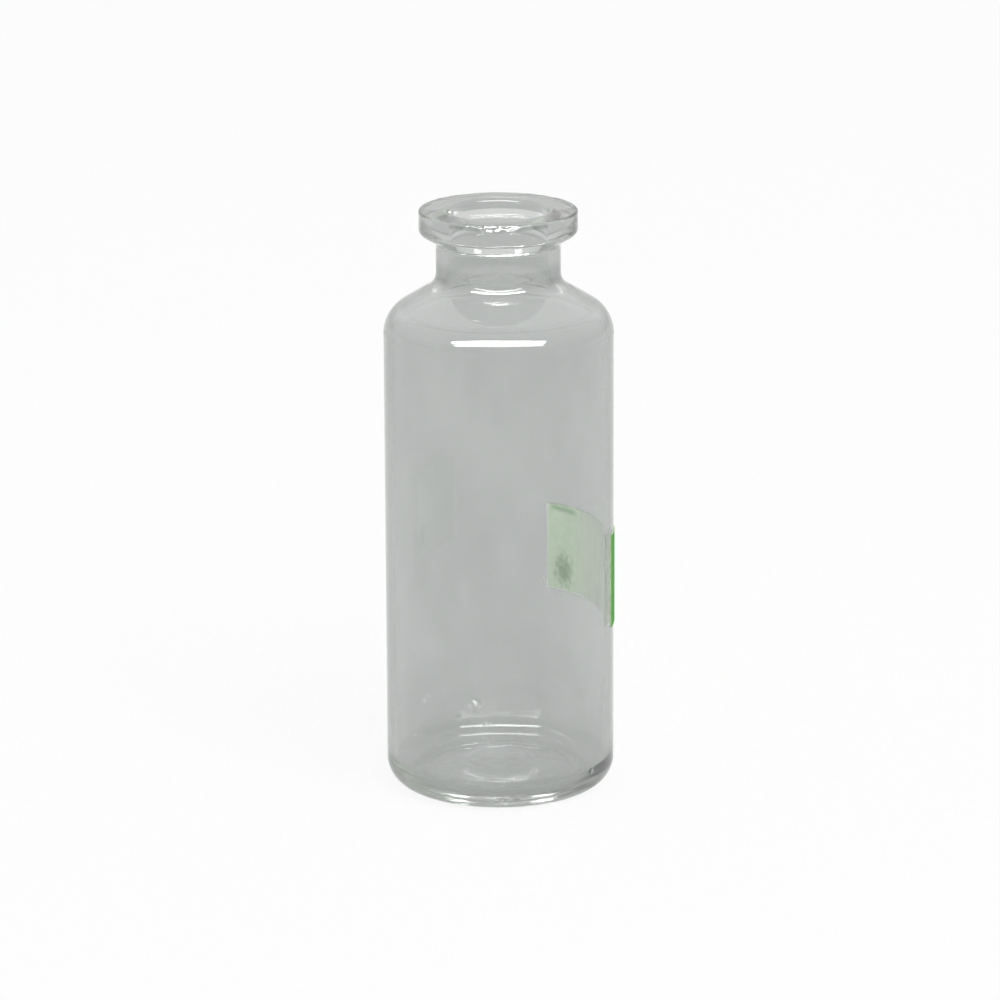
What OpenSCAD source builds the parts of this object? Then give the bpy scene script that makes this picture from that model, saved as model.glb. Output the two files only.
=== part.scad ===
// Glass sample vial with a 20 mm crimp finish, and the paper price label stuck round its side.
// Millimetres. +Z is up, the vial stands on z = 0, and its front is -Y.

/* [Body] */
// Overall height, from the table to the top of the lip
height = 75; // [66:0.5:90]
// Outside diameter of the body
body_d = 29; // [26:0.1:34]
// Wall of the drawn tube, kept through the body and the shoulder
wall = 1.2; // [0.9:0.05:1.5]

/* [Shoulder] */
// Radius where the body turns in to the shoulder
shoulder_r = 4.4; // [3.6:0.1:5.4]
// Slope of the shoulder, above the horizontal
shoulder_slope = 31.5; // [26:0.5:38]
// Radius of the shoulder on the inside, where the glass is a little thicker than the wall
shoulder_in_r = 2.9; // [2.2:0.1:4]
// Slope of the shoulder on the inside, above the horizontal
shoulder_in_slope = 33.2; // [28:0.1:39]
// Hollow radius where the shoulder turns up into the neck
neck_fillet = 2.3; // [1.5:0.1:3]

/* [Neck and mouth] */
// Outside diameter of the neck under the lip
neck_d = 15.7; // [14.4:0.1:17.4]
// Straight neck and lip together, from the shoulder's fillet to the top
neck_h = 8; // [6.8:0.1:10]
// Bore of the mouth, which takes the plug of a stopper
bore_d = 12.6; // [10.5:0.1:13]

/* [Lip] */
// Diameter of the lip that a crimp cap is closed round
lip_d = 20; // [18.6:0.1:22]
// Height of the lip's side, with both its rounded edges
lip_h = 3.2; // [2.7:0.1:3.8]
// Drop of the lip's sloping underside, from its rounded edge to the neck
lip_drop = 1.0; // [0.6:0.1:1.4]
// Rounding of the lip's upper outer edge
lip_top_r = 0.3; // [0.1:0.05:0.6]
// Rounding of the lip's lower outer edge
lip_low_r = 0.8; // [0.4:0.05:1]
// Rounding of the mouth's inner edge
mouth_r = 0.6; // [0.2:0.05:1]

/* [Base] */
// Radius of the heel, between the side and the ring that the vial stands on
heel_r = 3.5; // [2.8:0.1:4.6]
// Radius of the heel on the inside
heel_in_r = 2.4; // [1.8:0.1:3.2]
// Width of the flat ring that the vial stands on
ring_w = 1.5; // [0.6:0.1:2]
// Rise of the underside at its centre, above the table
push_up = 1.05; // [0.3:0.05:1.5]
// Thickness of the glass at the centre of the base
base_t = 2.2; // [1.2:0.1:2.8]

/* [Label] */
// Length of the label round the body
label_l = 19.8; // [12:0.2:30]
// Height of the label at its front end
label_h = 12.1; // [8:0.1:16]
// Thickness of the paper and its adhesive
label_t = 0.12; // [0.08:0.01:0.2]
// Height of the label's lower front corner above the table
label_z = 21.4; // [12:0.1:34]
// Direction of the label's front end, round from +X
label_turn = -15; // [-180:1:180]
// Rise of the label's lower edge towards its back end, where it was cut out of square
label_rise = 0.7; // [0:0.1:2]

/* [Part] */
// Piece to draw, or all of them

/* [Hidden] */
$fn = 96;
arc_step = 3;
body_r = body_d / 2;
neck_r = neck_d / 2;
bore_r = bore_d / 2;
lip_r = lip_d / 2;
// height at which the shoulder's fillet ends and the straight neck begins
neck_z = height - neck_h;
// run and rise of the straight slope between the shoulder's two radii
slope_run = body_r - neck_r - (shoulder_r + neck_fillet) * (1 - sin(shoulder_slope));
shoulder_rise = (shoulder_r + neck_fillet) * cos(shoulder_slope) + slope_run * tan(shoulder_slope);
// height at which the straight body ends
body_z = neck_z - shoulder_rise;
// the inner shoulder starts level with the outer one and rises a little faster
inner_fillet = neck_fillet + wall;
inner_run = body_r - wall - bore_r - (shoulder_in_r + inner_fillet) * (1 - sin(shoulder_in_slope));
inner_rise = (shoulder_in_r + inner_fillet) * cos(shoulder_in_slope) + inner_run * tan(shoulder_in_slope);
bore_z = body_z + inner_rise;
// the ring to stand on, and the shallow dome inside it
ring_out = body_r - heel_r;
ring_in = ring_out - ring_w;
dome_r = (pow(ring_in, 2) + pow(push_up, 2)) / (2 * push_up);
// the floor is a dome of the same centre, so the base keeps its thickness
floor_r = dome_r + base_t;
floor_z = push_up - dome_r;
heel_x = body_r - wall - heel_in_r;
heel_z = floor_z + sqrt(pow(floor_r + heel_in_r, 2) - pow(heel_x, 2));
heel_a = atan2(heel_z - floor_z, heel_x);
// the label, measured from the middle of its arc
label_a = label_l / body_r * 180 / PI;
label_chord = 2 * body_r * sin(label_a / 2);

// Points of an arc round (x, z), from angle a to angle b
function arc(x, z, r, a, b) =
    let (n = ceil(abs(b - a) / arc_step))
    [for (i = [0 : n]) [x + r * cos(a + (b - a) * i / n), z + r * sin(a + (b - a) * i / n)]];

// Outside of the glass, from the centre of the base up to the lip
function outer_points() = concat(
    arc(0, floor_z, dome_r, 90, acos(ring_in / dome_r)),
    arc(ring_out, heel_r, heel_r, -90, 0),
    arc(body_r - shoulder_r, body_z, shoulder_r, 0, 90 - shoulder_slope),
    arc(neck_r + neck_fillet, neck_z, neck_fillet, 270 - shoulder_slope, 180),
    [[neck_r, height - lip_h - lip_drop]],
    arc(lip_r - lip_low_r, height - lip_h + lip_low_r, lip_low_r, -60, 0),
    arc(lip_r - lip_top_r, height - lip_top_r, lip_top_r, 0, 90)
);

// Inside of the glass, from the mouth down to the centre of the floor
function inner_points() = concat(
    arc(bore_r + mouth_r, height - mouth_r, mouth_r, 90, 180),
    arc(bore_r + inner_fillet, bore_z, inner_fillet, 180, 270 - shoulder_in_slope),
    arc(body_r - wall - shoulder_in_r, body_z, shoulder_in_r, 90 - shoulder_in_slope, 0),
    arc(heel_x, heel_z, heel_in_r, 0, heel_a - 180),
    arc(0, floor_z, floor_r, heel_a, 90)
);

module vial() {
    color([0.82, 0.86, 0.84, 0.35])
    rotate_extrude()
    polygon(concat(outer_points(), inner_points()));
}

module label() {
    color([0.33, 0.66, 0.27])
    rotate([0, 0, label_turn + label_a / 2])
    difference() {
        rotate([0, 0, -label_a / 2])
        rotate_extrude(angle = label_a)
        translate([body_r, label_z])
        square([label_t, label_h]);

        translate([0, -label_chord / 2, label_z])
        rotate([atan2(label_rise, label_chord), 0, 0])
        translate([0, -label_chord / 2, -label_h])
        cube([body_d, label_chord * 2, label_h]);
    }
}

vial();
label();
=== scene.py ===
# Glass sample vial: a clear tubular-glass vial with a crimp lip, open at the top, with a green paper
# price label stuck round its right side. Metres, +Z up, the vial stands on z = 0 and its front is -Y.
from math import acos, atan2, ceil, cos, exp, pi, radians, sin, sqrt, tan

import bmesh
import bpy
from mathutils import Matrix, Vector


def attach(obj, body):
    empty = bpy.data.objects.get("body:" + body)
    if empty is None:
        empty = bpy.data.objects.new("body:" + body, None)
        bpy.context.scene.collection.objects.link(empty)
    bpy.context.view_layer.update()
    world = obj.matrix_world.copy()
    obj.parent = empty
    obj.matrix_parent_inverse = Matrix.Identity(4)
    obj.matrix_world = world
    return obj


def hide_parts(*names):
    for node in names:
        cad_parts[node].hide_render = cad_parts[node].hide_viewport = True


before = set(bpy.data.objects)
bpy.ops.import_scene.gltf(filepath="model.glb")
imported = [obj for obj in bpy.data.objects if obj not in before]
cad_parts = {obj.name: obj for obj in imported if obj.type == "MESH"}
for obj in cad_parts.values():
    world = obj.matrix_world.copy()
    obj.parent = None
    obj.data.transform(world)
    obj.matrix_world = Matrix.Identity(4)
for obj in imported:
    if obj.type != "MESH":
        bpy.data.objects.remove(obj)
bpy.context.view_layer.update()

# ---------------------------------------------------------------- the vial
# Clear tubular glass, drawn to a 1.2 mm wall. The base is closed and the shoulder, neck and lip are
# worked in the flame, so the lip is thick and slightly uneven and every edge is melted round.

# sizes in millimetres, slopes in degrees
HEIGHT, BODY_R, WALL = 75.0, 14.5, 1.2
SHOULDER_R, SLOPE, FILLET = 4.4, 31.5, 2.3
SHOULDER_IN_R, SLOPE_IN = 2.9, 33.2
NECK_R, NECK_H, BORE_R = 7.85, 8.0, 6.3
LIP_R, LIP_H, LIP_DROP = 10.0, 3.2, 1.0
LIP_TOP_R, LIP_LOW_R, MOUTH_R = 0.3, 0.8, 0.6
HEEL_R, HEEL_IN_R, RING_W = 3.5, 2.4, 1.5
PUSH_UP, BASE_T = 1.05, 2.2
MM = 0.001

# on the floor inside, a shallow dip in the middle and two low rings: radius, height and breadth
FLOOR_RINGS = [(0.0, -0.05, 0.5), (3.85, 0.025, 0.45), (7.2, 0.02, 0.6)]


def arc(x, z, r, start, end, step):
    """Points of an arc round (x, z) from one angle to another, a step apart, in degrees."""
    steps = max(2, ceil(abs(end - start) / step))
    turns = [radians(start + (end - start) * i / steps) for i in range(steps + 1)]
    return [(x + r * cos(turn), z + r * sin(turn)) for turn in turns]


def straight(x0, z0, x1, z1, steps):
    """Points between two ends, without the ends themselves."""
    return [(x0 + (x1 - x0) * i / steps, z0 + (z1 - z0) * i / steps) for i in range(1, steps)]


# where the parts of the section meet: the shoulder is a straight slope between two arcs, and the base
# is two domes of one centre, joined to the wall by the heel
slope, slope_in = radians(SLOPE), radians(SLOPE_IN)
neck_z = HEIGHT - NECK_H
lip_foot_z = HEIGHT - LIP_H - LIP_DROP
run = BODY_R - NECK_R - (SHOULDER_R + FILLET) * (1 - sin(slope))
body_z = neck_z - (SHOULDER_R + FILLET) * cos(slope) - run * tan(slope)
fillet_in = FILLET + WALL
run_in = BODY_R - WALL - BORE_R - (SHOULDER_IN_R + fillet_in) * (1 - sin(slope_in))
bore_z = body_z + (SHOULDER_IN_R + fillet_in) * cos(slope_in) + run_in * tan(slope_in)
ring_out = BODY_R - HEEL_R
ring_in = ring_out - RING_W
dome_r = (ring_in ** 2 + PUSH_UP ** 2) / (2 * PUSH_UP)
dome_end = acos(ring_in / dome_r) * 180 / pi
floor_r, floor_z = dome_r + BASE_T, PUSH_UP - dome_r
heel_x = BODY_R - WALL - HEEL_IN_R
heel_z = floor_z + sqrt((floor_r + HEEL_IN_R) ** 2 - heel_x ** 2)
heel_end = atan2(heel_z - floor_z, heel_x) * 180 / pi

# the outside, from the middle of the base up to the mouth
section = arc(0, floor_z, dome_r, 90, dome_end, step=0.8)
section += straight(ring_in, 0, ring_out, 0, steps=4)
section += arc(ring_out, HEEL_R, HEEL_R, -90, 0, step=3)
section += straight(BODY_R, HEEL_R, BODY_R, body_z, steps=30)
section += arc(BODY_R - SHOULDER_R, body_z, SHOULDER_R, 0, 90 - SLOPE, step=2.5)
fillet_low = NECK_R + FILLET * (1 - sin(slope)), neck_z - FILLET * cos(slope)
section += straight(*section[-1], *fillet_low, steps=5)
section += arc(NECK_R + FILLET, neck_z, FILLET, 270 - SLOPE, 180, step=3)
section += straight(NECK_R, neck_z, NECK_R, lip_foot_z, steps=6)
section += [(NECK_R, lip_foot_z)]
lip_low = arc(LIP_R - LIP_LOW_R, HEIGHT - LIP_H + LIP_LOW_R, LIP_LOW_R, -60, 0, step=4)
section += straight(NECK_R, lip_foot_z, *lip_low[0], steps=5) + lip_low
section += straight(LIP_R, HEIGHT - LIP_H + LIP_LOW_R, LIP_R, HEIGHT - LIP_TOP_R, steps=14)
section += arc(LIP_R - LIP_TOP_R, HEIGHT - LIP_TOP_R, LIP_TOP_R, 0, 90, step=9)
section += straight(LIP_R - LIP_TOP_R, HEIGHT, BORE_R + MOUTH_R, HEIGHT, steps=14)
section += arc(BORE_R + MOUTH_R, HEIGHT - MOUTH_R, MOUTH_R, 90, 180, step=6)
mouth_point = len(section)

# the inside, from the bore down to the middle of the floor
section += straight(BORE_R, HEIGHT - MOUTH_R, BORE_R, bore_z, steps=10)
section += arc(BORE_R + fillet_in, bore_z, fillet_in, 180, 270 - SLOPE_IN, step=3)
shoulder_top = (BODY_R - WALL - SHOULDER_IN_R * (1 - sin(slope_in)),
                body_z + SHOULDER_IN_R * cos(slope_in))
section += straight(*section[-1], *shoulder_top, steps=5)
section += arc(BODY_R - WALL - SHOULDER_IN_R, body_z, SHOULDER_IN_R, 90 - SLOPE_IN, 0, step=2.5)
section += straight(BODY_R - WALL, body_z, BODY_R - WALL, heel_z, steps=30)
section += arc(heel_x, heel_z, HEEL_IN_R, 0, heel_end - 180, step=3)
for x, z in arc(0, floor_z, floor_r, heel_end, 90, step=0.25)[1:]:
    rise = sum(tall * exp(-((x - ring) / wide) ** 2) for ring, tall, wide in FLOOR_RINGS)
    section.append((x, z + rise))
ON_AXIS = 1e-6
section = [(0.0 if x < ON_AXIS else x, z) for x, z in section]


def new_object(name, mesh):
    thing = bpy.data.objects.new(name, mesh)
    bpy.context.scene.collection.objects.link(thing)
    return thing


section_mesh = bpy.data.meshes.new("vial_section")
section_mesh.from_pydata([(x * MM, 0, z * MM) for x, z in section],
                         [(i, i + 1) for i in range(len(section) - 1)], [])
turned = new_object("vial_section", section_mesh)


class Wiring:
    """One node tree, with short ways to add nodes to it and join them."""

    def __init__(self, tree):
        self.tree = tree
        tree.nodes.clear()

    def put(self, value, socket):
        """Joins an output to the socket, or sets the socket to a number, a vector or a colour."""
        if isinstance(value, bpy.types.NodeSocket):
            self.tree.links.new(value, socket)
        elif socket.type == "RGBA":
            socket.default_value = (*value, 1)
        else:
            socket.default_value = value

    def node(self, kind, inputs=(), **settings):
        """Adds a node with these settings, and sets or joins each input given by name or number."""
        node = self.tree.nodes.new(kind)
        for name, value in settings.items():
            setattr(node, name, value)
        for name, value in dict(inputs).items():
            self.put(value, node.inputs[name])
        return node

    def maths(self, operation, *values):
        return self.node("ShaderNodeMath", enumerate(values), operation=operation).outputs[0]

    def vector(self, operation, *values):
        return self.node("ShaderNodeVectorMath", enumerate(values), operation=operation).outputs

    def ramp(self, value, low, high, to_low=0.0, to_high=1.0):
        """A smooth step from to_low to to_high, while the value goes from low to high."""
        inputs = {"Value": value, "From Min": low, "From Max": high, "To Min": to_low, "To Max": to_high}
        node = self.node("ShaderNodeMapRange", inputs, interpolation_type="SMOOTHSTEP")
        return node.outputs["Result"]

    def noise(self, where, scale, detail, squeeze=(1, 1, 1)):
        """Soft noise over these places, made so many times finer along each axis."""
        squeezed = self.node("ShaderNodeMapping", {"Vector": where, "Scale": squeeze}).outputs[0]
        texture = {"Vector": squeezed, "Scale": scale, "Detail": detail}
        return self.node("ShaderNodeTexNoise", texture).outputs["Fac"]

    def blend(self, amount, under, over):
        """The colour under, covered to this amount by the colour over."""
        node = self.node("ShaderNodeMix", {0: amount}, data_type="RGBA")
        self.put(under, node.inputs["A"])
        self.put(over, node.inputs["B"])
        return node.outputs["Result"]

    def bump(self, height, distance, strength=1.0):
        inputs = {"Height": height, "Distance": distance, "Strength": strength}
        return self.node("ShaderNodeBump", inputs).outputs[0]

    def show(self, shader, output="ShaderNodeOutputMaterial"):
        self.node(output, {"Surface": shader})


# The lathe turns the section into the vial. It also gives the lip its slight waver and the ragged flat
# on its front edge, and parts the outside of the glass from the inside.
ROUND_STEPS = 256
# the waver: the most it lowers the lip, its seed, how quickly it changes round the mouth, how far
# below the top it begins and is full, and how much of the radius it takes for each mm of drop
WAVER, WAVER_SEED = 0.06, 4.0
WAVER_SPREAD, WAVER_SCALE = 1.6, 1.7
WAVER_FROM, WAVER_FULL = 6.0, 1.0
WAVER_PULL = 0.04
# the flat: how it tilts, how far down the lip's side it reaches, how ragged and how fine-grained it is
FLAT_TILT, FLAT_DEPTH = radians(29), 1.0
FLAT_RAGGED, FLAT_GRAIN = 0.4, 0.9
FLAT_FACING = (0, -cos(FLAT_TILT), sin(FLAT_TILT))

lathe = bpy.data.node_groups.new("glass_lathe", "GeometryNodeTree")
lathe.interface.new_socket("Section", in_out="INPUT", socket_type="NodeSocketGeometry")
socket_of = {}
for name, kind in (("Steps round", "Int"), ("Section points", "Int"), ("Lip waver", "Float"),
                   ("Seed", "Float"), ("Mouth point", "Int"), ("Flat plane", "Float"),
                   ("Glass outside", "Material"), ("Glass inside", "Material")):
    made = lathe.interface.new_socket(name, in_out="INPUT", socket_type="NodeSocket" + kind)
    socket_of[name] = made.identifier
lathe.interface.new_socket("Vial", in_out="OUTPUT", socket_type="NodeSocketGeometry")

w = Wiring(lathe)
given = w.node("NodeGroupInput").outputs

# a grid with one row for each point of the section, and its first column again at the end
across = w.maths("ADD", given["Steps round"], 1)
grid = w.node("GeometryNodeMeshGrid", {"Vertices X": given["Section points"], "Vertices Y": across})
index = w.node("GeometryNodeInputIndex").outputs[0]
row = w.maths("FLOOR", w.maths("DIVIDE", w.maths("ADD", index, 0.5), across))
column = w.maths("SUBTRACT", index, w.maths("MULTIPLY", row, across))
angle = w.maths("MULTIPLY", w.maths("DIVIDE", column, given["Steps round"]), 2 * pi)
turn_x, turn_y = w.maths("COSINE", angle), w.maths("SINE", angle)
sample = w.node("GeometryNodeSampleIndex", data_type="FLOAT_VECTOR", domain="POINT")
w.put(given["Section"], sample.inputs["Geometry"])
w.put(w.node("GeometryNodeInputPosition").outputs[0], sample.inputs["Value"])
w.put(row, sample.inputs["Index"])
point = w.node("ShaderNodeSeparateXYZ", {0: sample.outputs[0]}).outputs
radius, height = point["X"], point["Z"]

# the lip's waver: lowers the top and draws in the side a little, unevenly round the mouth
round_the_lip = w.node("ShaderNodeCombineXYZ", {"X": w.maths("MULTIPLY", turn_x, WAVER_SPREAD),
                                                "Y": w.maths("MULTIPLY", turn_y, WAVER_SPREAD),
                                                "Z": given["Seed"]}).outputs[0]
uneven = w.node("ShaderNodeTexNoise", {"Vector": round_the_lip, "Scale": WAVER_SCALE, "Detail": 2.0})
near_lip = w.ramp(height, (HEIGHT - WAVER_FROM) * MM, (HEIGHT - WAVER_FULL) * MM)
drop = w.maths("MULTIPLY", w.maths("MULTIPLY", uneven.outputs[0], given["Lip waver"]), near_lip)
radius = w.maths("MULTIPLY", radius,
                 w.maths("SUBTRACT", 1.0, w.maths("MULTIPLY", drop, WAVER_PULL / MM)))
place = w.node("ShaderNodeCombineXYZ", {"X": w.maths("MULTIPLY", radius, turn_x),
                                        "Y": w.maths("MULTIPLY", radius, turn_y),
                                        "Z": w.maths("SUBTRACT", height, drop)}).outputs[0]

# the flat: whatever stands over a slanting, ragged plane is pressed down to it
ragged = w.node("ShaderNodeTexNoise", {"Vector": place, "Scale": FLAT_GRAIN / MM, "Detail": 2.0})
plane = w.maths("SUBTRACT", given["Flat plane"],
                w.maths("MULTIPLY", ragged.outputs[0], FLAT_RAGGED * MM))
stands = w.vector("DOT_PRODUCT", place, FLAT_FACING)["Value"]
over = w.maths("MAXIMUM", w.maths("SUBTRACT", stands, plane), 0.0)
press = w.node("ShaderNodeVectorMath", {0: FLAT_FACING}, operation="SCALE")
w.put(over, press.inputs["Scale"])
pressed = w.vector("SUBTRACT", place, press.outputs[0])[0]

shaped = w.node("GeometryNodeSetPosition", {"Geometry": grid.outputs["Mesh"], "Position": pressed})
smooth = w.node("GeometryNodeSetShadeSmooth", {"Geometry": shaped.outputs[0]})
real = w.node("GeometryNodeRealizeInstances", {"Geometry": smooth.outputs[0]})
outside = w.node("GeometryNodeSetMaterial", {"Geometry": real.outputs[0],
                                             "Material": given["Glass outside"]})
# the faces lie in the section's order, so those from the mouth on are the inside
first_inside = w.maths("MULTIPLY", given["Mouth point"], given["Steps round"])
is_inside = w.maths("GREATER_THAN", index, w.maths("SUBTRACT", first_inside, 0.5))
inside = w.node("GeometryNodeSetMaterial", {"Geometry": outside.outputs[0], "Selection": is_inside,
                                            "Material": given["Glass inside"]})
w.node("NodeGroupOutput", {0: inside.outputs[0]})

# small marks in the glass, in millimetres: where each is, its radius and the height of its relief
MARKS = [(-3.1, -14.16, 14.15, 1.2, 1.0), (-5.2, -13.5, 12.6, 0.5, 0.2), (-13.7, -4.7, 9.2, 0.3, 0.08),
         (11.5, -8.8, 3.9, 0.45, 0.25), (0.3, -13.95, 1.75, 0.70, 0.35), (2.0, -14.1, 2.5, 0.90, 0.2),
         (5.6, -13.4, 30.7, 0.25, 0.12), (3.3, 8.9, 74.8, 1.3, 0.30), (-2.0, 12.9, 3.4, 0.5, 0.1)]
# how fine each pattern of the glass is, in grains to the metre
DRAWING, LIP_LUMPS, TWIST, FILM, FILM_ROUGH = 260.0, 420.0, 1500.0, 95.0, 70.0
ALONG_THE_TUBE, ACROSS_THE_LIP, ACROSS_THE_TUBE = (1, 1, 0.06), (1, 1, 1.2), (1, 1, 0.6)
LIP_WAVES_FROM, LIP_WAVES_FULL = 69.5 * MM, 71.5 * MM
GLASS_INDEX = 1.5


def new_material(name):
    """A material without nodes yet, and its wiring."""
    material = bpy.data.materials.new(name)
    material.use_nodes = True
    return material, Wiring(material.node_tree)


def places(w):
    """Where each spot of the piece is, and its height."""
    where = w.node("ShaderNodeTexCoord").outputs["Object"]
    return where, w.node("ShaderNodeSeparateXYZ", {0: where}).outputs["Z"]


def relief(w, where, up, drawn, lip_wave):
    """Faint lines of drawing, an uneven lip and the small marks."""
    height = w.maths("MULTIPLY", w.noise(where, DRAWING, 2.0, ALONG_THE_TUBE), drawn * MM)
    lumps = w.maths("MULTIPLY", w.noise(where, LIP_LUMPS, 1.0, ACROSS_THE_LIP),
                    w.ramp(up, LIP_WAVES_FROM, LIP_WAVES_FULL))
    height = w.maths("ADD", height, w.maths("MULTIPLY", lumps, lip_wave * MM))
    twist = w.noise(where, TWIST, 1.0)
    for x, y, z, size, tall in MARKS:
        away = w.vector("DISTANCE", where, (x * MM, y * MM, z * MM))["Value"]
        bead = w.ramp(away, 0.0, size * MM, tall * MM, 0.0)
        height = w.maths("ADD", height, w.maths("MULTIPLY", bead, twist))
    return w.bump(height, 1.0)


def finish_glass(w, tint, roughness, bumps):
    """Clear glass of this tint, roughness and relief."""
    w.show(w.node("ShaderNodeBsdfPrincipled", {
        "Base Color": tint, "Roughness": roughness, "IOR": GLASS_INDEX, "Transmission Weight": 1.0,
        "Normal": bumps}).outputs[0])


# The glass is clear. Its outside is tinted grey under a thin uneven film, as a painted shade for the
# dimmer surroundings seen through it. The tint is made clearer on the shoulder as a painted light, and
# deeper edge on, at the foot of the neck and at the heel, as a painted shade.
PAINTED_SHADE_GREY, PAINTED_LIGHT_SHOULDER, PAINTED_SHADE_DARK = (0.49, 0.51, 0.495), (0.57, 0.59, 0.575), (0.10, 0.125, 0.10)
FILM_DULLS, FILM_PATCHES = 0.12, (0.3, 0.72)
SHOULDER_FROM, SHOULDER_TO = (59.0 * MM, 62.0 * MM), (64.5 * MM, 66.0 * MM)
FOOT_FROM, FOOT_TO = (65.9 * MM, 66.6 * MM), (67.9 * MM, 68.6 * MM)
HEEL_FADES, EDGE_ON = (2.5 * MM, 6.0 * MM), (0.5, 0.85)
PAINTED_SHADE_FOOT, PAINTED_SHADE_HEEL, PAINTED_SHADE_EDGE = 0.30, 0.26, 0.65

glass, w = new_material("clear_glass")
where, up = places(w)
film = w.ramp(w.noise(where, FILM, 5.0, ACROSS_THE_TUBE), *FILM_PATCHES)
tint = w.blend(film, PAINTED_SHADE_GREY, tuple(part * (1 - FILM_DULLS) for part in PAINTED_SHADE_GREY))
# painted light: the tint turns clearer in a band on the shoulder
shoulder = w.maths("MULTIPLY", w.ramp(up, *SHOULDER_FROM), w.ramp(up, *SHOULDER_TO, 1.0, 0.0))
tint = w.blend(shoulder, tint, PAINTED_LIGHT_SHOULDER)
# painted shade: the tint turns deeper edge on, at the foot of the neck and at the heel
facing = w.node("ShaderNodeLayerWeight", {"Blend": 0.5}).outputs["Facing"]
foot = w.maths("MULTIPLY", w.ramp(up, *FOOT_FROM, 0.0, PAINTED_SHADE_FOOT), w.ramp(up, *FOOT_TO, 1.0, 0.0))
painted_shade_share = w.maths("ADD", w.ramp(facing, *EDGE_ON, 0.0, PAINTED_SHADE_EDGE), foot)
painted_shade_share = w.maths("ADD", painted_shade_share, w.ramp(up, *HEEL_FADES, PAINTED_SHADE_HEEL, 0.0))
tint = w.blend(painted_shade_share, tint, PAINTED_SHADE_DARK)

# the film is very slightly rough in places, and the heel all round, which softens the light caught in it
ROUGH_FILM, ROUGH_PATCHES = 0.02, (0.45, 0.8)
ROUGH_HEEL, ROUGH_FADES = 0.11, (3.2 * MM, 5.6 * MM)
rough = w.maths("ADD", w.ramp(w.noise(where, FILM_ROUGH, 4.0), *ROUGH_PATCHES, 0.0, ROUGH_FILM),
                w.ramp(up, *ROUGH_FADES, ROUGH_HEEL, 0.0))
finish_glass(w, tint, rough, relief(w, where, up, drawn=0.004, lip_wave=0.03))

inside_glass, w = new_material("clear_glass_inside")
finish_glass(w, (1, 1, 1), 0.0, relief(w, *places(w), drawn=0.003, lip_wave=0.02))

spin = turned.modifiers.new("lathe", "NODES")
spin.node_group = lathe
flat_plane = LIP_R * cos(FLAT_TILT) + (HEIGHT - FLAT_DEPTH) * sin(FLAT_TILT) + FLAT_RAGGED / 2
for name, value in (("Steps round", ROUND_STEPS), ("Section points", len(section)),
                    ("Lip waver", WAVER * MM), ("Seed", WAVER_SEED), ("Mouth point", mouth_point),
                    ("Flat plane", flat_plane * MM), ("Glass outside", glass),
                    ("Glass inside", inside_glass)):
    spin[socket_of[name]] = value
seen_now = bpy.context.evaluated_depsgraph_get()
vial_mesh = bpy.data.meshes.new_from_object(turned.evaluated_get(seen_now))
vial_mesh.name = "vial_glass"
bpy.data.objects.remove(turned)

# close the seam and the two poles, and drop the first material slot, which is empty
SAME_PLACE, NO_LENGTH = 1e-7, 1e-8
work = bmesh.new()
work.from_mesh(vial_mesh)
bmesh.ops.remove_doubles(work, verts=work.verts, dist=SAME_PLACE)
bmesh.ops.dissolve_degenerate(work, dist=NO_LENGTH, edges=work.edges)
bmesh.ops.recalc_face_normals(work, faces=work.faces)
work.to_mesh(vial_mesh)
work.free()
vial_mesh.materials.pop(index=0)
vial = new_object("vial_glass", vial_mesh)
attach(vial, "root")
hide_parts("vial")

# ---------------------------------------------------------------- the label
# A paper price label, stuck round the body by its own adhesive: bright green on the outside, with a
# pale back that shows through the glass. It was cut a little out of square, so its lower edge rises
# towards the back.

# in millimetres, with the turn of its front end in degrees
LABEL_L, LABEL_H, LABEL_T = 19.8, 12.1, 0.12
LABEL_Z, LABEL_TURN, LABEL_RISE = 21.4, -15.0, 0.7
# how far its back lies inside the glass, and its face inside its full thickness
SUNK, LOWERED = 0.002, 0.004
COLS, ROWS = 60, 30

label_arc = LABEL_L / BODY_R
inner, outer = BODY_R - SUNK, BODY_R + LABEL_T - LOWERED
spots = []
for r in (inner, outer):
    for i in range(COLS + 1):
        turn = radians(LABEL_TURN) + i / COLS * label_arc
        along_cut = sin(label_arc / 2) + sin(turn - radians(LABEL_TURN) - label_arc / 2)
        low = LABEL_Z + LABEL_RISE * along_cut / (2 * sin(label_arc / 2))
        for j in range(ROWS + 1):
            z = low + (LABEL_Z + LABEL_H - low) * j / ROWS
            spots.append((r * cos(turn) * MM, r * sin(turn) * MM, z * MM))
side = (COLS + 1) * (ROWS + 1)


def at(face, i, j):
    """The number of a point, on the back (0) or the front (1)."""
    return face * side + i * (ROWS + 1) + j


FRONT, BACK, EDGE = 0, 1, 2
faces, finishes = [], []
for i in range(COLS):
    for j in range(ROWS):
        faces.append((at(0, i, j), at(0, i, j + 1), at(0, i + 1, j + 1), at(0, i + 1, j)))
        faces.append((at(1, i, j), at(1, i + 1, j), at(1, i + 1, j + 1), at(1, i, j + 1)))
        finishes += [BACK, FRONT]
for i in range(COLS):
    faces.append((at(0, i, 0), at(0, i + 1, 0), at(1, i + 1, 0), at(1, i, 0)))
    faces.append((at(0, i, ROWS), at(1, i, ROWS), at(1, i + 1, ROWS), at(0, i + 1, ROWS)))
    finishes += [EDGE, EDGE]
for j in range(ROWS):
    faces.append((at(0, 0, j), at(1, 0, j), at(1, 0, j + 1), at(0, 0, j + 1)))
    faces.append((at(0, COLS, j), at(0, COLS, j + 1), at(1, COLS, j + 1), at(1, COLS, j)))
    finishes += [EDGE, EDGE]
label_mesh = bpy.data.meshes.new("label_paper")
label_mesh.from_pydata(spots, [], faces)

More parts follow.
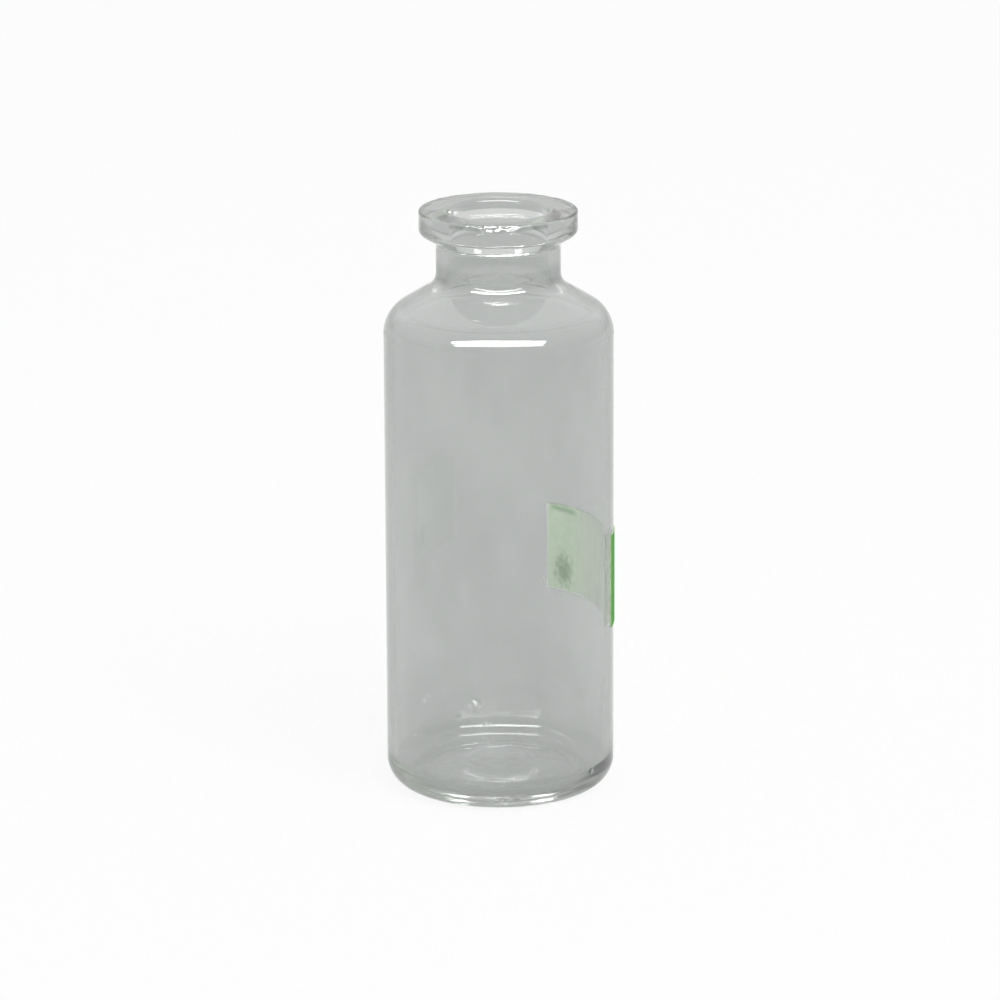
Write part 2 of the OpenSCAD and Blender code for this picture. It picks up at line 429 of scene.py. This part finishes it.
# its map is in millimetres: along the paper from the end that is further back, and up from its foot
paper_map = label_mesh.uv_layers.new(name="paper_mm")
for loop in label_mesh.loops:
    i = loop.vertex_index % side // (ROWS + 1)
    z = spots[loop.vertex_index][2] / MM
    paper_map.data[loop.index].uv = (LABEL_L * (1 - i / COLS), z - LABEL_Z)

GREEN, GREEN_DULL = (0.115, 0.40, 0.09), (0.095, 0.355, 0.075)
PALE, PALE_DULL = (0.88, 0.985, 0.84), (0.78, 0.93, 0.72)
CUT, CUT_DULL = (0.55, 0.76, 0.42), (0.46, 0.66, 0.34)
# how fine the paper's patterns are, in grains to the millimetre, and how they lie
FIBRES, MOTTLE, CREASES = 9.0, 0.7, 2.2
FIBRES_LIE, CREASES_LIE = (1, 1.6, 1), (1, 0.1, 1)
CREASED_FROM = (4.5, 6.5)

# on the adhesive side, in millimetres along and up: where it turns paler, where the band and the smudge
# are, and how wide the rim is
PALER, PALER_ALONG, PALER_FULL = (0.83, 0.88, 0.79), (3.0, 9.0), 0.8
BAND, BAND_FULL = (0.34, 0.54, 0.30), 0.75
BAND_BELOW_TOP, BAND_SLANT, BAND_WANDER, BAND_FADES = 0.35, 0.07, 0.25, 0.62
BAND_FROM, BAND_TO = (0.3, 1.4), (4.2, 6.0)
SMUDGE_SOFT, SMUDGE_DARK = (0.46, 0.60, 0.40), (0.30, 0.40, 0.26)
SMUDGE_AT, SMUDGE_SHAPE, SMUDGE_RAGGED = (2.9, 3.5), (0.85, 0.62), 1.3
# painted shade: the colour the creases darken to on the adhesive side, and how far
CREASE_PAINTED_SHADE, CREASE_PAINTED_SHADE_FULL = (0.45, 0.52, 0.42), 0.30
RIM, RIM_WIDTH = (1, 1, 1), (0.12, 0.32)
PAINTED_GLOW_THROUGH_PAPER = 0.22


def adhesive_marks(w, look, paper, along, up, creases):
    """The adhesive side: paler towards one end, with a dark band, a smudge, creases darkened by painted
    shade and a white rim.
    """
    look = w.blend(w.ramp(along, *PALER_ALONG, 0.0, PALER_FULL), look, PALER)

    wander = w.maths("MULTIPLY_ADD", w.noise(paper, 0.9, 3.0), 2 * BAND_WANDER, -BAND_WANDER)
    line = w.maths("ADD", w.maths("MULTIPLY_ADD", along, -BAND_SLANT, LABEL_H - BAND_BELOW_TOP), wander)
    off_line = w.maths("ABSOLUTE", w.maths("SUBTRACT", up, line))
    ends = w.maths("MULTIPLY", w.ramp(along, *BAND_FROM), w.ramp(along, *BAND_TO, 1.0, 0.0))
    band = w.maths("MULTIPLY", w.ramp(off_line, 0.0, BAND_FADES, 1.0, 0.0), ends)
    look = w.blend(w.maths("MULTIPLY", band, BAND_FULL), look, BAND)

    off_x, off_y = (w.maths("MULTIPLY", w.maths("SUBTRACT", place, middle), shape)
                    for place, middle, shape in zip((along, up), SMUDGE_AT, SMUDGE_SHAPE))
    squares = w.maths("ADD", w.maths("MULTIPLY", off_x, off_x), w.maths("MULTIPLY", off_y, off_y))
    ragged = w.maths("MULTIPLY_ADD", w.noise(paper, 1.9, 4.0, (1, 0.7, 1)),
                     2 * SMUDGE_RAGGED, -SMUDGE_RAGGED)
    away = w.maths("ADD", w.maths("SQRT", squares), ragged)
    look = w.blend(w.ramp(away, 0.2, 2.2, 0.35, 0.0), look, SMUDGE_SOFT)
    look = w.blend(w.ramp(away, 0.1, 1.9, 0.75, 0.0), look, SMUDGE_DARK)

    # painted shade in the creases
    look = w.blend(w.maths("MULTIPLY", creases, CREASE_PAINTED_SHADE_FULL), look, CREASE_PAINTED_SHADE)
    foot = w.maths("MULTIPLY_ADD", along, -LABEL_RISE / LABEL_L, LABEL_RISE)
    from_rim = w.maths("MINIMUM", along, w.maths("SUBTRACT", up, foot))
    return w.blend(w.ramp(from_rim, *RIM_WIDTH, 1.0, 0.0), look, RIM)


def label_paper(name, colour, dull, adhesive=False):
    """Matt paper with fibres, mottling and creases darkened by painted shade, and on the adhesive side
    its marks and a painted glow.
    """
    material, w = new_material(name)
    paper = w.node("ShaderNodeUVMap", uv_map="paper_mm").outputs[0]
    spot = w.node("ShaderNodeSeparateXYZ", {0: paper}).outputs
    along, up = spot["X"], spot["Y"]
    fibres = w.noise(paper, FIBRES, 4.0, FIBRES_LIE)
    creases = w.maths("MULTIPLY", w.ramp(w.noise(paper, CREASES, 2.0, CREASES_LIE), 0.56, 0.66),
                      w.ramp(along, *CREASED_FROM))
    look = w.blend(w.ramp(w.noise(paper, MOTTLE, 4.0), 0.3, 0.7), colour, dull)
    look = w.blend(w.ramp(fibres, 0.5, 0.75, 0.0, 0.35), look, dull)
    if adhesive:
        look = adhesive_marks(w, look, paper, along, up, creases)
    else:
        # painted shade in the creases
        look = w.blend(w.maths("MULTIPLY", creases, 0.25), look, dull)
    height = w.maths("SUBTRACT", fibres, w.maths("MULTIPLY", creases, 0.8))
    shade = w.node("ShaderNodeBsdfPrincipled", {
        "Base Color": look, "Roughness": w.ramp(fibres, 0.3, 0.7, 0.78, 0.95),
        "Specular IOR Level": 0.15, "Normal": w.bump(height, 0.03 * MM, 0.8)})
    if adhesive:
        # painted light: the adhesive side glows a little by emission, in place of light from the far
        # side coming through the paper
        w.put(look, shade.inputs["Emission Color"])
        w.put(PAINTED_GLOW_THROUGH_PAPER, shade.inputs["Emission Strength"])
    w.show(shade.outputs[0])
    return material


label_mesh.materials.append(label_paper("label_green", GREEN, GREEN_DULL))
label_mesh.materials.append(label_paper("label_back", PALE, PALE_DULL, adhesive=True))
label_mesh.materials.append(label_paper("label_edge", CUT, CUT_DULL))
for polygon, finish in zip(label_mesh.polygons, finishes):
    polygon.material_index = finish
label = new_object("price_label", label_mesh)
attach(label, "root")
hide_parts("label")

# ---------------------------------------------------------------- floor and room
# A plain floor and a white room. The camera sees the room full white and the floor nearly so. In gloss
# and through glass both are a little darker, with a soft brighter patch high up behind the vial.

FLOOR_REACH = 6
# a hair below the glass, so that the standing ring and the floor aren't one face
FLOOR_Z = -0.02 * MM
FLOOR_PAINT = (0.95, 0.95, 0.95)
FLOOR_SEEN, FLOOR_IN_GLASS = 0.90, 0.76
ROOM_LIGHT, ROOM_IN_GLASS = 0.57, 0.80
PATCH_TILT, PATCH_GLOW, PATCH_EDGE = radians(58), 0.4, 0.5


def rays_of(w):
    """Whether a ray is the camera's own, and whether it comes by gloss or through glass."""
    rays = w.node("ShaderNodeLightPath").outputs
    in_glass = w.maths("MAXIMUM", rays["Is Glossy Ray"], rays["Is Transmission Ray"])
    return rays["Is Camera Ray"], in_glass


floor_mesh = bpy.data.meshes.new("floor")
floor_mesh.from_pydata([(x * FLOOR_REACH, y * FLOOR_REACH, FLOOR_Z)
                        for x, y in ((-1, -1), (1, -1), (1, 1), (-1, 1))], [], [(0, 1, 2, 3)])
floor = new_object("floor", floor_mesh)
floor_white, w = new_material("floor_white")
camera_ray, in_glass = rays_of(w)
seen = w.maths("MULTIPLY", w.maths("MAXIMUM", camera_ray, in_glass), FLOOR_IN_GLASS)
share = w.maths("MULTIPLY_ADD", camera_ray, FLOOR_SEEN - FLOOR_IN_GLASS, seen)
matt = w.node("ShaderNodeBsdfDiffuse", {"Color": FLOOR_PAINT}).outputs[0]
plain_white = w.node("ShaderNodeEmission", {"Color": (1, 1, 1), "Strength": 1.0}).outputs[0]
w.show(w.node("ShaderNodeMixShader", {0: share, 1: matt, 2: plain_white}).outputs[0])
floor_mesh.materials.append(floor_white)

room = bpy.data.worlds.new("room")
room.use_nodes = True
bpy.context.scene.world = room
w = Wiring(room.node_tree)
camera_ray, in_glass = rays_of(w)
strength = w.maths("MULTIPLY_ADD", in_glass, ROOM_IN_GLASS - ROOM_LIGHT, ROOM_LIGHT)
looking = w.node("ShaderNodeTexCoord").outputs["Generated"]
at_patch = w.vector("DOT_PRODUCT", looking, (0, cos(PATCH_TILT), sin(PATCH_TILT)))["Value"]
patch = w.ramp(at_patch, PATCH_EDGE, 1.0, 0.0, PATCH_GLOW)
strength = w.maths("MULTIPLY_ADD", patch, in_glass, strength)
strength = w.maths("MAXIMUM", strength, camera_ray)
sky = w.node("ShaderNodeBackground", {"Color": (1, 1, 1), "Strength": strength})
w.show(sky.outputs[0], "ShaderNodeOutputWorld")

# ---------------------------------------------------------------- lamps and camera
# One wide strip lamp in front and above, seen only in gloss and through glass, a soft lamp that lights
# only matt faces, and a long lens looking slightly down on the vial.


def softbox(name, width, depth, radiance, place, aim):
    """A rectangular lamp of this radiance, at a place, facing another."""
    data = bpy.data.lights.new(name, "AREA")
    data.shape = "RECTANGLE"
    data.size, data.size_y = width, depth
    data.energy = radiance * pi * width * depth
    lamp = bpy.data.objects.new(name, data)
    lamp.location = place
    lamp.rotation_euler = (Vector(aim) - Vector(place)).to_track_quat("-Z", "Y").to_euler()
    lamp.visible_camera = False
    bpy.context.scene.collection.objects.link(lamp)
    return lamp


strip = softbox("strip", width=2.5, depth=0.22, radiance=45.0, place=(0, -1.0, 0.935), aim=(0, 0, 0.035))
strip.visible_diffuse = False
fill = softbox("fill", width=1.3, depth=1.3, radiance=3.0, place=(0.5, -1.0, 1.3), aim=(0, 0, 0.03))
fill.visible_glossy = fill.visible_transmission = False

LENS, SENSOR = 199.68, 36
AWAY, TILT, ROLL = 0.7036, radians(15.436), radians(-0.25)
AIM_X, AIM_Z = 0.00008, 0.0372
camera_data = bpy.data.cameras.new("camera")
camera_data.sensor_width = SENSOR
camera_data.lens = LENS
camera = bpy.data.objects.new("camera", camera_data)
camera.location = (AIM_X, -AWAY * cos(TILT), AIM_Z + AWAY * sin(TILT))
camera.rotation_mode = "ZXY"
camera.rotation_euler = (radians(90) - TILT, 0, ROLL)
bpy.context.scene.collection.objects.link(camera)
bpy.context.scene.camera = camera
bpy.context.scene.view_settings.view_transform = "Standard"

# thick glass passes light on many times before it lets it out
cycles = bpy.context.scene.cycles
cycles.max_bounces = cycles.glossy_bounces = cycles.transmission_bounces = 32
cycles.diffuse_bounces = 8
cycles.sample_clamp_indirect = 0
